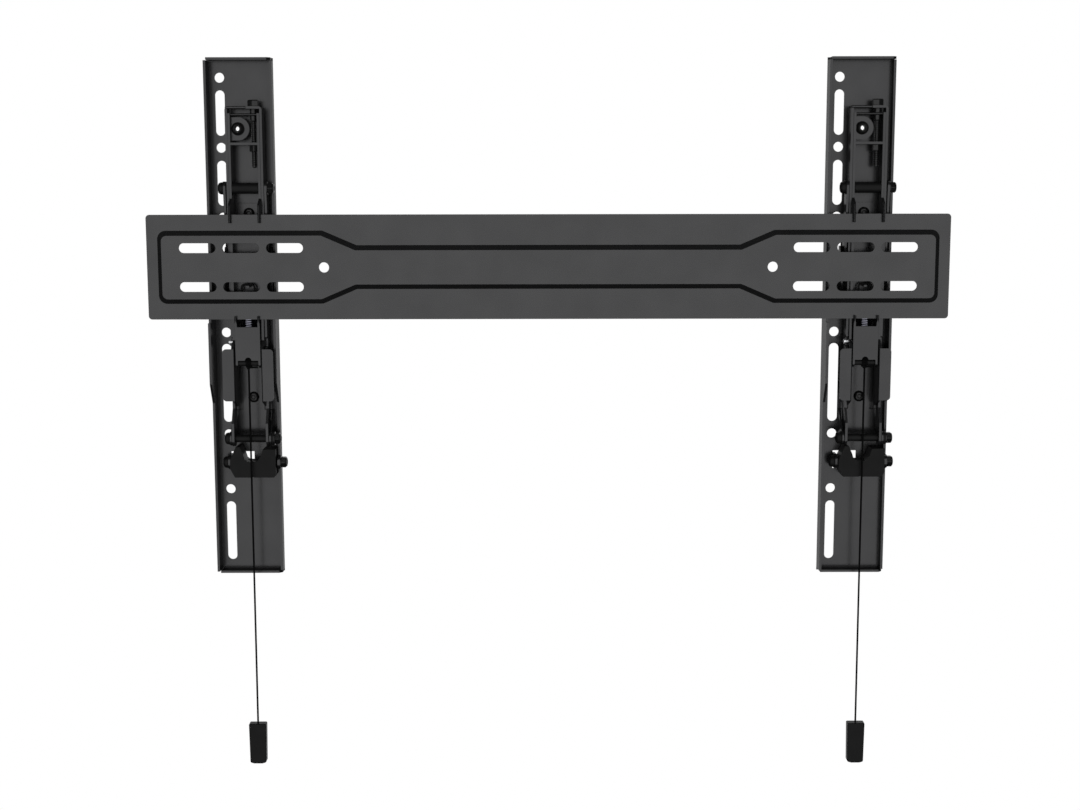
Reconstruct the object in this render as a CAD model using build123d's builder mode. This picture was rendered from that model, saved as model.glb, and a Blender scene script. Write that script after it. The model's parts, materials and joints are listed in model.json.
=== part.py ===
from build123d import *
import os
from math import sqrt

# Tilting wall bracket for a flat screen, in millimetres.
# X runs along the wall, Z is up, Y points from the wall into the room: the wall is the plane Y = 0.
# Each arm is modelled about its own hook centre line (X = 0) and then placed on the wall plate.

# Wall plate
plate_width = 660.0
plate_height = 86.0
plate_sheet = 2.0
emboss_depth = 4.5
emboss_run = 4.0
end_border = 9.0
edge_border = 13.0
waist_half = 18.0
waist_end_x = 157.5
waist_flare = 28.0
plate_corner = 3.0
emboss_corner = 7.0
slot_length = 30.3
slot_width = 8.0
slot_pitch = 35.8
slot_first_x = 216.0
slot_row_half = 15.9
slots_per_row = 3
plate_hole_x = 184.0
plate_hole = 8.4

# Where the two arms hang along the plate
left_arm_x = -248.7
right_arm_x = 262.3

# Hook bracket (inner channel that hangs on the plate)
hook_half = 11.0
cheek_sheet = 2.0
hook_front = 1.0
hook_gap = 0.3
hook_seat_gap = 0.1
hook_overlap = 6.8
hook_crown = 7.5
hook_slant = 5.5
tip_chamfer = 0.9
bridge_inset = 2.0
bridge_chamfer = 0.8
edge_reach = 0.01
box_front = 9.5
back_gap = 0.5
cheek_top = 125.0
cheek_depth = 20.0
foot_front = 0.5
foot_top = -67.5
foot_length = 43.3
foot_width = 8.0
foot_corner = 3.0
foot_rise = 7.0
cheek_tail = 6.0
cheek_tail_y = 15.0
hook_web_top = 33.0
hook_web_low = -36.0

# Levelling screw and the tongue beside it
screw_x = 7.3
screw_y = 16.0
screw_d = 4.0
screw_fit = 0.05
screw_head_af = 8.6
screw_head = 5.3
screw_tail = 18.5
collar_d = 5.4
collar_length = 9.6
shelf_top = 101.4
nut_af = 7.0
nut_height = 5.3
level_travel = 2.5
tongue_x = -5.3
tongue_z = 112.6
tongue_r = 9.4
tongue_y = 14.2
buffer_r = 5.6
buffer_tip_r = 3.4
buffer_length = 4.6
buffer_hole_r = 1.9
buffer_stem_r = 3.0

# Lift frame (outer channel that the screw raises and lowers)
slide_gap = 0.15
frame_sheet = 2.0
frame_front = 9.8
frame_top = 130.7
frame_tab_half = 5.2
web_gap = 0.2
frame_ear_r = 6.7
frame_shoulder = 25.3
frame_knee = 13.3
frame_web_top = 33.0
frame_web_low = -40.0
frame_bend = 3.0

# Pivots
pivot_y = 9.5
pivot_z = -143.3
pivot_d = 5.0
link_y = 13.0
link_z = 64.3
link_d = 6.0
pin_fit = 0.05
upper_tube_d = 9.0
lower_tube_d = 6.5
tube_gap = 0.3
bolt_head_r = 5.0
bolt_head = 4.6
bolt_flange = 0.8
bolt_flange_r = 5.6
bolt_round = 1.6
nut_depth = 5.6
friction_washer = 2.2

# Tilt link, rail and screen channel
link_gap = 0.6
link_sheet = 2.0
link_eye_r = 5.0
link_drop = 72.3
link_lean = 7.0
stud_d = 5.0
stud_gap = 0.2
rail_gap = 0.6
rail_sheet = 1.6
rail_half = 9.0
rail_top = 52.0
rail_ear_low = 22.0
rail_ear_high = 24.0
rail_ear_lip = 7.0
rail_slot_rise = 8.0
pivot_gap = 0.4
pivot_ear_r = 6.0
pivot_ear_top = 22.0
rail_screw_head_r = 4.6
rail_screw_head = 2.6
rail_screw_d = 4.0
rail_screw_top_z = 43.6
rail_screw_low_z = -110.5

web_front = 27.5
channel_sheet = 2.0
channel_width = 55.0
channel_gap = 0.55
channel_top = 170.2
channel_low = -261.0
left_flange = 14.0
right_flange = 8.5
wing_left = 24.0
wing_right = 18.5
wing_top = -46.2
wing_low = -97.0
wing_rise = 8.0
wing_clear = 0.8
wing_end = 17.0
top_lip = 13.0
low_lip = 9.0
lip_left = 1.9
lip_right = 0.6
lip_gap = 0.4
lip_chamfer = 2.8
channel_bend = 2.5
hole_inset = 10.5
screen_hole_d = 8.1
screen_slot_width = 8.0
hole_1_z = 154.5
slot_1_high = 144.3
slot_1_low = 107.3
hole_2_z = 97.5
slot_2_high = 86.8
slot_2_low = 49.8
hole_3_z = 40.0
hole_4_z = -56.0
slot_3_high = -65.7
slot_3_low = -132.0
hole_5_z = -142.5
hole_6_z = -189.8
slot_4_high = -200.6
slot_4_low = -251.3
slot_5_high = 29.3
slot_5_low = -7.7
window_width = 19.8
window_height = 15.5
sight_hole_d = 13.0

# Cord guide on its bolt
guide_y = 19.0
guide_z = -165.0
guide_bolt_d = 5.0
guide_front = 9.4
guide_back = 25.0
guide_top = 14.2
guide_step = 2.1
guide_low = 11.7
guide_left = 18.6
guide_notch = 9.0
guide_notch_depth = 12.4
guide_groove = 2.4
guide_groove_depth = 2.2
guide_fit = 0.2
guide_gap = 0.8
guide_ear_r = 6.0
guide_shoulder_x = 5.0
guide_shoulder_z = 11.0
guide_foot_x = 3.8
guide_foot_z = 7.3
guide_toe_x = 1.6
guide_toe_z = 3.6

# Latch, its spring, pin and pull cord
latch_gap = 0.7
latch_sheet = 1.8
latch_front = 3.0
latch_depth = 12.0
latch_tip_front = 1.2
prong_chamfer = 0.8
latch_overlap = 2.7
latch_shoulder = 1.0
latch_web_drop = 6.4
latch_height = 27.8
latch_bar_d = 4.6
latch_bar_back = 3.7
latch_bar_gap = 0.2
latch_ear = 1.4
latch_travel = 4.5
latch_pin_y = 11.0
latch_pin_z = -62.5
latch_pin_d = 3.0
latch_pin_head_r = 2.1
latch_pin_head = 1.8
latch_pin_round = 0.6
spring_y = 12.3
spring_r = 4.5
spring_wire = 1.8
spring_groove = 0.5
spring_top = -19.0
spring_low = -54.0
spring_tab_half = 1.2
spring_tab = 1.6
spring_seat = 0.05
cord_y = 5.2
cord_d = 1.6
cord_knot_r = 1.3
handle_top_z = -389.0
handle_length = 34.0
handle_top_half = 7.4
handle_low_half = 6.9
handle_belly = 1.0
handle_thick = 8.0
handle_round = 1.5

# Faces that follow from the sizes above
border_back = emboss_depth + plate_sheet
plate_top = plate_height / 2
plate_low = -plate_height / 2
cheek_out = hook_half + cheek_sheet
cheek_front = border_back + back_gap
cheek_back = cheek_depth
foot_low = foot_top - foot_length
frame_in = cheek_out + slide_gap
frame_out = frame_in + frame_sheet
frame_back = cheek_back + frame_sheet + web_gap
link_in = frame_out + link_gap
link_out = link_in + link_sheet
rail_ear_in = link_out + rail_gap
rail_ear_out = rail_ear_in + rail_sheet
pivot_ear_in = frame_out + pivot_gap
pivot_ear_out = pivot_ear_in + rail_sheet
channel_right = rail_ear_out + channel_gap + channel_sheet
channel_left = channel_right - channel_width
channel_back = web_front + channel_sheet
channel_mid = (channel_left + channel_right) / 2
hole_x = channel_left + hole_inset
rail_front = web_front - rail_sheet
stud_y = link_y + link_lean
stud_z = link_z - link_drop
latch_half = hook_half - latch_gap
latch_top = plate_low - latch_web_drop
latch_low = latch_top - latch_height
latch_bar_y = latch_front + latch_bar_back
latch_bar_z = latch_low - latch_bar_gap - latch_bar_d / 2
latch_ear_r = latch_bar_d / 2 + latch_ear
cord_top_z = latch_bar_z - latch_bar_d / 2 - pin_fit
frame_plate_low = frame_top - frame_sheet
guide_ear_out = -guide_left - guide_fit
guide_ear_in = guide_ear_out - channel_sheet
latch_notch_r = 2 * cord_knot_r + 2 * spring_seat
spring_eye = sqrt((spring_r - spring_wire / 2) ** 2 - spring_tab_half**2) - spring_seat


# Wall plate: a flat border with a dog-bone pad pressed forward to meet the wall
pad_half_x = plate_width / 2 - end_border
pad_half_z = plate_height / 2 - edge_border
flare_x = waist_end_x + waist_flare


def pad_outline(y, inset):
    """Dog-bone outline of the pressed pad at depth y, drawn in by inset."""
    with BuildSketch(Plane.XZ.offset(-y)) as outline:
        with BuildLine():
            Polyline(
                (-pad_half_x, -pad_half_z),
                (-flare_x, -pad_half_z),
                (-waist_end_x, -waist_half),
                (waist_end_x, -waist_half),
                (flare_x, -pad_half_z),
                (pad_half_x, -pad_half_z),
                (pad_half_x, pad_half_z),
                (flare_x, pad_half_z),
                (waist_end_x, waist_half),
                (-waist_end_x, waist_half),
                (-flare_x, pad_half_z),
                (-pad_half_x, pad_half_z),
                close=True,
            )
        make_face()
        if inset:
            offset(amount=-inset, kind=Kind.INTERSECTION)
        ends = outline.vertices().group_by(Axis.X)
        fillet(ends[0] + ends[-1], radius=emboss_corner - inset * 0.6)
    return outline.sketch


with BuildPart() as wall_plate:
    with BuildSketch(Plane.XZ.offset(-emboss_depth)):
        RectangleRounded(plate_width, plate_height, plate_corner)
    extrude(amount=-plate_sheet)
    loft(sections=[pad_outline(emboss_depth, 0), pad_outline(0, emboss_run)], ruled=True)
    loft(
        sections=[pad_outline(border_back, 0), pad_outline(plate_sheet, emboss_run)],
        ruled=True,
        mode=Mode.SUBTRACT,
    )
    with BuildSketch(Plane.XZ):
        slot_mid_x = slot_first_x + slot_pitch * (slots_per_row - 1) / 2
        with Locations((-slot_mid_x, 0), (slot_mid_x, 0)):
            with GridLocations(slot_pitch, 2 * slot_row_half, slots_per_row, 2):
                SlotOverall(slot_length, slot_width)
        with Locations((-plate_hole_x, 0), (plate_hole_x, 0)):
            Circle(plate_hole / 2)
    extrude(amount=border_back, both=True, mode=Mode.SUBTRACT)

# Hook bracket: two cheeks with hooks and feet, joined by a web, a nut shelf and a tongue
hook_back = emboss_depth - hook_gap
hook_tip = plate_top - hook_overlap
seat_z = plate_top + hook_seat_gap
crown_z = plate_top + hook_crown
shelf_low = shelf_top - cheek_sheet
spring_seat_top = spring_top + spring_eye
with BuildPart() as hook_bracket:
    with BuildSketch(Plane.YZ.offset(hook_half)) as cheek:
        with BuildLine():
            Polyline(
                (box_front, cheek_top),
                (cheek_back, cheek_top),
                (cheek_back, foot_low - cheek_tail),
                (cheek_tail_y, foot_low - cheek_tail),
                (foot_front, foot_low),
                (foot_front, foot_top),
                (cheek_front, foot_top + foot_rise),
                (cheek_front, seat_z),
                (hook_back, seat_z),
                (hook_back, hook_tip),
                (hook_front, hook_tip),
                (hook_front, crown_z),
                (box_front, crown_z + hook_slant),
                close=True,
            )
        make_face()
        with Locations((link_y, link_z)):
            SlotOverall(
                link_d + 2 * level_travel + 2 * tube_gap,
                link_d + 2 * tube_gap,
                rotation=90,
                mode=Mode.SUBTRACT,
            )
        with Locations((latch_pin_y, latch_pin_z)):
            Circle(latch_pin_d / 2 + pin_fit, mode=Mode.SUBTRACT)
    extrude(amount=cheek_sheet)
    with BuildSketch(Plane.XZ.offset(-foot_front)):
        with Locations((cheek_out + foot_width / 2 - cheek_sheet / 2, foot_top - foot_length / 2)):
            Rectangle(foot_width + cheek_sheet, foot_length)
    extrude(amount=-cheek_sheet)
    toe = hook_bracket.edges().filter_by(Axis.Y).group_by(Axis.X)[-1]
    fillet(toe, radius=foot_corner)
    bend = hook_bracket.edges().filter_by(Axis.Z).group_by(Axis.X)[0]
    fillet(bend.group_by(Axis.Y)[0].sort_by(Axis.Z)[0], radius=cheek_sheet * 0.8)
    tips = hook_bracket.edges().filter_by(Axis.Z)
    tips = tips.filter_by_position(Axis.Y, hook_front - edge_reach, hook_front + edge_reach)
    chamfer(tips, length=tip_chamfer)
    mirror(about=Plane.YZ)
    with BuildSketch(Plane.XZ.offset(-cheek_back)):
        with Locations((0, (hook_web_top + hook_web_low) / 2)):
            Rectangle(2 * hook_half + cheek_sheet, hook_web_top - hook_web_low)
    extrude(amount=cheek_sheet)
    bridge_front = box_front + bridge_inset
    with BuildSketch(Plane.XY.offset(cheek_top - cheek_sheet)):
        with Locations((0, (bridge_front + cheek_back) / 2)):
            Rectangle(2 * hook_half + cheek_sheet, cheek_back - bridge_front)
        with Locations((screw_x, screw_y)):
            Circle(collar_d / 2 + tube_gap, mode=Mode.SUBTRACT)
    extrude(amount=cheek_sheet)
    lip_edges = hook_bracket.edges().filter_by(Axis.X)
    lip_edges = lip_edges.filter_by_position(Axis.Y, bridge_front - edge_reach, bridge_front + edge_reach)
    chamfer(lip_edges, length=bridge_chamfer)
    with BuildSketch(Plane.XY.offset(shelf_low)):
        with Locations((0, (box_front + cheek_back) / 2)):
            Rectangle(2 * hook_half + cheek_sheet, cheek_back - box_front)
        with Locations((screw_x, screw_y)):
            Circle(screw_d / 2 + 4 * screw_fit, mode=Mode.SUBTRACT)
    extrude(amount=cheek_sheet)
    with BuildSketch(Plane.XZ.offset(-tongue_y)):
        with Locations((tongue_x, tongue_z)):
            Circle(tongue_r)
        tongue_run = hook_half + cheek_sheet / 2 + tongue_x
        with Locations((tongue_x - tongue_run / 2, tongue_z)):
            Rectangle(tongue_run, 2 * tongue_r)
        with Locations((tongue_x, tongue_z)):
            Circle(buffer_stem_r + pin_fit, mode=Mode.SUBTRACT)
        with Locations((tongue_x - tongue_run - tongue_r, tongue_z)):
            Rectangle(2 * tongue_r, 2 * tongue_r, mode=Mode.SUBTRACT)
    extrude(amount=-cheek_sheet)
    with BuildSketch(Plane.XZ.offset(-(cheek_back - cheek_sheet / 2))):
        with Locations((0, spring_seat_top - spring_tab / 2)):
            Rectangle(2 * spring_tab_half, spring_tab)
    extrude(amount=cheek_back - cheek_sheet / 2 - spring_y + spring_wire)

# Rubber buffer plugged into the tongue, pointing at the wall
with BuildPart() as buffer:
    with BuildSketch(Plane.XY):
        with BuildLine():
            Polyline(
                (buffer_hole_r, buffer_length),
                (buffer_tip_r, buffer_length),
                (buffer_r, 0),
                (buffer_stem_r, 0),
                (buffer_stem_r, -cheek_sheet),
                (buffer_hole_r, -cheek_sheet),
                close=True,
            )
        make_face()
    revolve(axis=Axis.Y)
buffer_place = Location((tongue_x, tongue_y, tongue_z), (180, 0, 0))

# Levelling screw, hanging in the lift frame, and its nut under the shelf
screw_low = shelf_low - screw_tail
with BuildPart() as level_screw:
    with BuildSketch(Plane.XY.offset(frame_top)):
        with Locations((screw_x, screw_y)):
            RegularPolygon(screw_head_af / 2, 6, major_radius=False)
    extrude(amount=screw_head)
    with BuildSketch(Plane.XY.offset(frame_top)):
        with Locations((screw_x, screw_y)):
            Circle(screw_d / 2)
    extrude(amount=screw_low - frame_top)
    with BuildSketch(Plane.XY.offset(frame_plate_low - screw_fit)):
        with Locations((screw_x, screw_y)):
            Circle(collar_d / 2)
    extrude(amount=-collar_length)

with BuildPart() as level_nut:
    with BuildSketch(Plane.XY.offset(shelf_low)):
        with Locations((screw_x, screw_y)):
            RegularPolygon(nut_af / 2, 6, major_radius=False, rotation=30)
            Circle(screw_d / 2 + screw_fit, mode=Mode.SUBTRACT)
    extrude(amount=-nut_height)

# Lift frame: cheeks outside the hook bracket, folded over on top for the screw
with BuildPart() as lift_frame:
    with BuildSketch(Plane.YZ.offset(frame_in)):
        with BuildLine():
            Polyline(
                (frame_front, frame_top),
                (frame_back, frame_top),
                (frame_back, pivot_z + frame_shoulder + frame_ear_r),
                (pivot_y + frame_ear_r, pivot_z),
                (pivot_y - frame_ear_r, pivot_z),
                (pivot_y - frame_ear_r, pivot_z + frame_knee),
                (frame_front, pivot_z + frame_shoulder),
                close=True,
            )
        make_face()
        with Locations((pivot_y, pivot_z)):
            Circle(frame_ear_r)
            Circle(pivot_d / 2 + pin_fit, mode=Mode.SUBTRACT)
        with Locations((link_y, link_z)):
            Circle(link_d / 2 + pin_fit, mode=Mode.SUBTRACT)
        with Locations((latch_pin_y, latch_pin_z)):
            pin_room = latch_pin_d + 4 * tube_gap
            SlotOverall(pin_room + 2 * level_travel, pin_room, rotation=90, mode=Mode.SUBTRACT)
    extrude(amount=frame_sheet)
    mirror(about=Plane.YZ)
    tab_left = screw_x - frame_tab_half
    with BuildSketch(Plane.XY.offset(frame_plate_low)):
        with Locations(((tab_left + frame_out) / 2, (frame_front + frame_back) / 2)):
            Rectangle(frame_out - tab_left, frame_back - frame_front)
    extrude(amount=frame_sheet)
    with BuildSketch(Plane.XY.offset(frame_plate_low)):
        with Locations((-frame_out, (frame_front + frame_back) / 2)):
            Rectangle(3 * frame_sheet, frame_back)
    extrude(amount=frame_sheet, mode=Mode.SUBTRACT)
    with BuildSketch(Plane.XZ.offset(-frame_back)):
        with Locations((0, (frame_web_top + frame_web_low) / 2)):
            Rectangle(2 * frame_in + frame_sheet, frame_web_top - frame_web_low)
    extrude(amount=frame_sheet)
    top_edge = lift_frame.edges().filter_by(Axis.Y).group_by(Axis.Z)[-1].sort_by(Axis.X)[-1]
    fillet(top_edge, radius=frame_bend)
    with BuildSketch(Plane.XY.offset(frame_top)):
        with Locations((screw_x, screw_y)):
            Circle(screw_d / 2 + screw_fit)
    extrude(amount=-frame_sheet, mode=Mode.SUBTRACT)


# Turned fasteners, drawn along +Z from the face that the head sits on
def dome_bolt(shank_d, grip, label):
    """Round-headed bolt: head above the seat, shank running down through the grip."""
    with BuildPart() as bolt:
        with BuildSketch(Plane.XZ):
            with BuildLine():
                Polyline(
                    (0, -grip),
                    (shank_d / 2, -grip),
                    (shank_d / 2, 0),
                    (bolt_flange_r, 0),
                    (bolt_flange_r, bolt_flange),
                    (bolt_head_r, bolt_flange),
                    (bolt_head_r, bolt_head - bolt_round),
                    (bolt_head_r - bolt_round, bolt_head),
                    (0, bolt_head),
                    close=True,
                )
            make_face()
        revolve(axis=Axis.Z)
    bolt.part.label = label
    return bolt.part


def dome_nut(shank_d, label):
    """Closed dome nut with a flange, seated on Z = 0 and bored for the shank's end."""
    with BuildPart() as nut:
        with BuildSketch(Plane.XY):
            Circle(bolt_flange_r)
        extrude(amount=bolt_flange)
        with BuildSketch(Plane.XY.offset(bolt_flange)):
            RegularPolygon(bolt_head_r, 6, major_radius=True)
        extrude(amount=nut_depth - bolt_flange)
        rim = nut.faces().sort_by(Axis.Z)[-1].edges()
        chamfer(rim, length=bolt_flange)
        with BuildSketch(Plane.XY):
            Circle(shank_d / 2 + pin_fit)
        extrude(amount=nut_depth - 2 * bolt_flange, mode=Mode.SUBTRACT)
    nut.part.label = label
    return nut.part


def cross_bolt(shank_d, head_x, nut_x, y, z, label):
    """Bolt and nut across the arm: head at the left, nut at the right."""
    grip = nut_x - head_x + nut_depth - 2.5 * bolt_flange
    bolt = dome_bolt(shank_d, grip, f"{label}_bolt").moved(Location((head_x, y, z), (0, -90, 0)))
    nut = dome_nut(shank_d, f"{label}_nut").moved(Location((nut_x, y, z), (0, 90, 0)))
    return bolt, nut


def spacer_tube(outer_d, shank_d, half, y, z):
    """Spacer tube between two cheeks."""
    with BuildPart() as tube:
        with BuildSketch(Plane.YZ):
            with Locations((y, z)):
                Circle(outer_d / 2)
                Circle(shank_d / 2 + pin_fit, mode=Mode.SUBTRACT)
        extrude(amount=half, both=True)
    return tube.part


upper_bolt, upper_nut = cross_bolt(link_d, -link_out - pin_fit, link_out + pin_fit, link_y, link_z, "upper")
washer_out = pivot_ear_out + pin_fit + friction_washer
lower_bolt, lower_nut = cross_bolt(
    pivot_d, -pivot_ear_out - pin_fit, washer_out, pivot_y, pivot_z, "lower"
)
with BuildPart() as lower_washer:
    with BuildSketch(Plane.YZ.offset(pivot_ear_out + pin_fit)):
        with Locations((pivot_y, pivot_z)):
            Circle(bolt_flange_r)
            Circle(pivot_d / 2 + pin_fit, mode=Mode.SUBTRACT)
    extrude(amount=friction_washer)
upper_tube = spacer_tube(upper_tube_d, link_d, hook_half - tube_gap, link_y, link_z)
lower_tube = spacer_tube(lower_tube_d, pivot_d, frame_in, pivot_y, pivot_z)

# Tilt links: one plate each side, swinging on the upper bolt, with a stud that rides in the rail
with BuildPart() as tilt_link_right:
    with BuildSketch(Plane.YZ.offset(link_in)):
        with Locations((link_y, link_z)):
            Circle(bolt_flange_r)
        with Locations((stud_y, stud_z)):
            Circle(link_eye_r)
        make_hull()
        with Locations((link_y, link_z)):
            Circle(link_d / 2 + pin_fit, mode=Mode.SUBTRACT)
    extrude(amount=link_sheet)
    with BuildSketch(Plane.YZ.offset(link_out)):
        with Locations((stud_y, stud_z)):
            Circle(stud_d / 2)
    extrude(amount=rail_gap + rail_sheet + channel_gap / 2)
with BuildPart() as tilt_link_left:
    mirror(tilt_link_right.part, about=Plane.YZ)

# Tilt rail: a strip on the back of the screen channel with slotted ears and pivot ears
with BuildPart() as tilt_rail:
    with BuildSketch(Plane.XZ.offset(-web_front)):
        rail_low = pivot_z - pivot_ear_r
        with Locations((0, (rail_top + rail_low) / 2)):
            Rectangle(2 * rail_half, rail_top - rail_low)
        with Locations((0, stud_z + (rail_ear_high - rail_ear_low) / 2)):
            Rectangle(2 * rail_ear_out, rail_ear_high + rail_ear_low)
        with Locations((0, pivot_z + (pivot_ear_top - pivot_ear_r) / 2)):
            Rectangle(2 * pivot_ear_out, pivot_ear_top + pivot_ear_r)
        with Locations((0, rail_screw_top_z), (0, rail_screw_low_z)):
            Circle(rail_screw_d / 2 + pin_fit, mode=Mode.SUBTRACT)
    extrude(amount=rail_sheet)
    for turn in (0, 1):
        with BuildSketch(Plane.YZ.offset(-rail_ear_out if turn else rail_ear_in)):
            with BuildLine():
                Polyline(
                    (web_front, stud_z - rail_ear_low),
                    (web_front, stud_z + rail_ear_high),
                    (stud_y, stud_z + rail_ear_high),
                    (stud_y - rail_ear_lip, stud_z + rail_slot_rise),
                    (stud_y - rail_ear_lip, stud_z - rail_slot_rise),
                    (stud_y, stud_z - rail_ear_low),
                    close=True,
                )
            make_face()
            with Locations((stud_y, stud_z + rail_slot_rise / 2 - stud_gap)):
                SlotOverall(
                    stud_d + rail_slot_rise + 2 * stud_gap,
                    stud_d + 2 * stud_gap,
                    rotation=90,
                    mode=Mode.SUBTRACT,
                )
        extrude(amount=rail_sheet)
        with BuildSketch(Plane.YZ.offset(-pivot_ear_out if turn else pivot_ear_in)):
            with BuildLine():
                Polyline(
                    (web_front, pivot_z - pivot_ear_r),
                    (pivot_y, pivot_z - pivot_ear_r),
                    (pivot_y - pivot_ear_r, pivot_z),
                    (pivot_y, pivot_z + pivot_ear_r),
                    (rail_front - rail_sheet, pivot_z + pivot_ear_top),
                    (web_front, pivot_z + pivot_ear_top),
                    close=True,
                )
            make_face()
            with Locations((pivot_y, pivot_z)):
                Circle(pivot_ear_r)
                Circle(pivot_d / 2 + pin_fit, mode=Mode.SUBTRACT)
        extrude(amount=rail_sheet)


def rail_rivet(z):
    """Dome-headed rivet through the rail and the channel's web."""
    with BuildPart() as rivet:
        with BuildSketch(Plane.XY):
            with BuildLine():
                Polyline(
                    (0, -rail_sheet - channel_sheet),
                    (rail_screw_d / 2, -rail_sheet - channel_sheet),
                    (rail_screw_d / 2, 0),
                    (rail_screw_head_r, 0),
                    (rail_screw_head_r, rail_screw_head / 2),
                    (rail_screw_head_r - rail_screw_head / 2, rail_screw_head),
                    (0, rail_screw_head),
                    close=True,
                )
            make_face()
        revolve(axis=Axis.Y)
    return rivet.part.moved(Location((0, rail_front, z), (180, 0, 0)))


# Screen channel: folded sheet with a row of screen holes and slots down its left side
flange_front_left = web_front - left_flange
flange_front_right = web_front - right_flange
wing_front_left = web_front - wing_left
wing_front_right = web_front - wing_right
guide_ear_front = guide_y - guide_ear_r
screen_holes = (hole_1_z, hole_2_z, hole_3_z, hole_4_z, hole_5_z, hole_6_z)
screen_slots = (
    (slot_1_high, slot_1_low),
    (slot_2_high, slot_2_low),
    (slot_3_high, slot_3_low),
    (slot_4_high, slot_4_low),
    (slot_5_high, slot_5_low),
)
window_left = guide_ear_in
window_mid_x = window_left + window_width / 2
with BuildPart() as vesa_channel:
    with BuildSketch(Plane.XZ.offset(-channel_back)):
        with Locations((channel_mid, (channel_top + channel_low) / 2)):
            Rectangle(channel_width, channel_top - channel_low)
        with Locations(*[(hole_x, z) for z in screen_holes]):
            Circle(screen_hole_d / 2, mode=Mode.SUBTRACT)
        for high, low in screen_slots:
            with Locations((hole_x, (high + low) / 2)):
                SlotOverall(high - low, screen_slot_width, rotation=90, mode=Mode.SUBTRACT)
        with Locations((tongue_x, tongue_z)):
            Circle(sight_hole_d / 2, mode=Mode.SUBTRACT)
        with Locations((0, rail_screw_top_z), (0, rail_screw_low_z)):
            Circle(rail_screw_d / 2 + pin_fit, mode=Mode.SUBTRACT)
        with Locations((window_mid_x, guide_z)):
            Rectangle(window_width, window_height, mode=Mode.SUBTRACT)
    extrude(amount=channel_sheet)
    flange_top = channel_top - channel_sheet - lip_gap
    flange_low = channel_low + channel_sheet + lip_gap
    sides = (
        (channel_left, flange_front_left, wing_front_left),
        (channel_right - channel_sheet, flange_front_right, wing_front_right),
    )
    for side_x, shallow, deep in sides:
        wing_step = max(deep, border_back + wing_clear)
        outline = [
            (channel_back, flange_top),
            (shallow, flange_top),
            (shallow, wing_top + wing_rise),
            (wing_step, wing_top + wing_rise),
        ]
        if deep < wing_step:
            outline += [(wing_step, wing_top), (deep, wing_top)]
        outline += [
            (deep, wing_low),
            (shallow, wing_low - wing_end),
            (shallow, flange_low),
            (channel_back, flange_low),
        ]
        with BuildSketch(Plane.YZ.offset(side_x)):
            with BuildLine():
                Polyline(*outline, close=True)
            make_face()
            if side_x > 0:
                with Locations((guide_y, guide_z)):
                    Circle(guide_ear_r)
                with Locations(((guide_y + channel_back) / 2, guide_z)):
                    Rectangle(channel_back - guide_y, 2 * guide_ear_r)
                with Locations((guide_y, guide_z)):
                    Circle(guide_bolt_d / 2 + pin_fit, mode=Mode.SUBTRACT)
        extrude(amount=channel_sheet)
    with BuildSketch(Plane.YZ.offset(guide_ear_in)):
        with Locations((guide_y, guide_z)):
            Circle(guide_ear_r)
        with Locations(((guide_y + channel_back) / 2, guide_z)):
            Rectangle(channel_back - guide_y, 2 * guide_ear_r)
        with Locations((guide_y, guide_z)):
            Circle(guide_bolt_d / 2 + pin_fit, mode=Mode.SUBTRACT)
    extrude(amount=channel_sheet)
    lips = ((channel_top - channel_sheet, top_lip), (channel_low, low_lip))
    for lip_z, depth in lips:
        with BuildSketch(Plane.XY.offset(lip_z)):
            lip_mid = channel_mid + (lip_left - lip_right) / 2
            with Locations((lip_mid, channel_back - (depth + channel_sheet) / 2)):
                lip = Rectangle(channel_width - lip_left - lip_right, depth + channel_sheet)
            chamfer(lip.vertices().group_by(Axis.Y)[0].sort_by(Axis.X)[-1], length=lip_chamfer)
        extrude(amount=channel_sheet)
    backs = vesa_channel.edges().filter_by(Axis.Z).group_by(Axis.Y)[-1]
    backs = backs.filter_by(lambda e: e.length > channel_width)
    fillet(backs, radius=channel_bend * 0.7)

# Cord guide: a moulded saddle with two lobes and a groove that the cord runs in
guide_right = channel_right - channel_sheet - guide_gap
guide_floor = guide_top - guide_notch_depth
with BuildPart() as cord_guide:
    with BuildSketch(Plane(origin=(0, guide_front, guide_z), x_dir=(1, 0, 0), z_dir=(0, -1, 0))):
        with BuildLine():
            Polyline(
                (-guide_left, -guide_low + guide_foot_z),
                (-guide_left + guide_foot_x, -guide_low),
                (guide_right - guide_toe_x, -guide_low),
                (guide_right, -guide_low + guide_toe_z),
                (guide_right, guide_top - guide_step),
                (guide_notch, guide_top - guide_step),
                (0.75 * guide_notch, guide_floor + 0.3 * guide_notch_depth),
                (0.4 * guide_notch, guide_floor),
                (-0.45 * guide_notch, guide_floor),
                (-0.7 * guide_notch, guide_floor + 0.15 * guide_notch_depth),
                (-0.85 * guide_notch, guide_floor + 0.5 * guide_notch_depth),
                (-1.15 * guide_notch, guide_top),
                (-guide_left + guide_shoulder_x, guide_top),
                (-guide_left, guide_top - guide_shoulder_z),
                close=True,
            )
        make_face()
    extrude(amount=guide_front - guide_back)
    with BuildSketch(Plane.XZ.offset(-guide_front)):
        with Locations((0, guide_z)):
            Rectangle(guide_groove, 2 * (guide_top + guide_low))
    extrude(amount=-guide_groove_depth, mode=Mode.SUBTRACT)
    with BuildSketch(Plane.YZ):
        with Locations((guide_y, guide_z)):
            Circle(guide_bolt_d / 2 + pin_fit)
    extrude(amount=channel_width, both=True, mode=Mode.SUBTRACT)
guide_bolt, guide_nut = cross_bolt(
    guide_bolt_d, guide_ear_in - pin_fit, channel_right + pin_fit, guide_y, guide_z, "guide"
)

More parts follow.
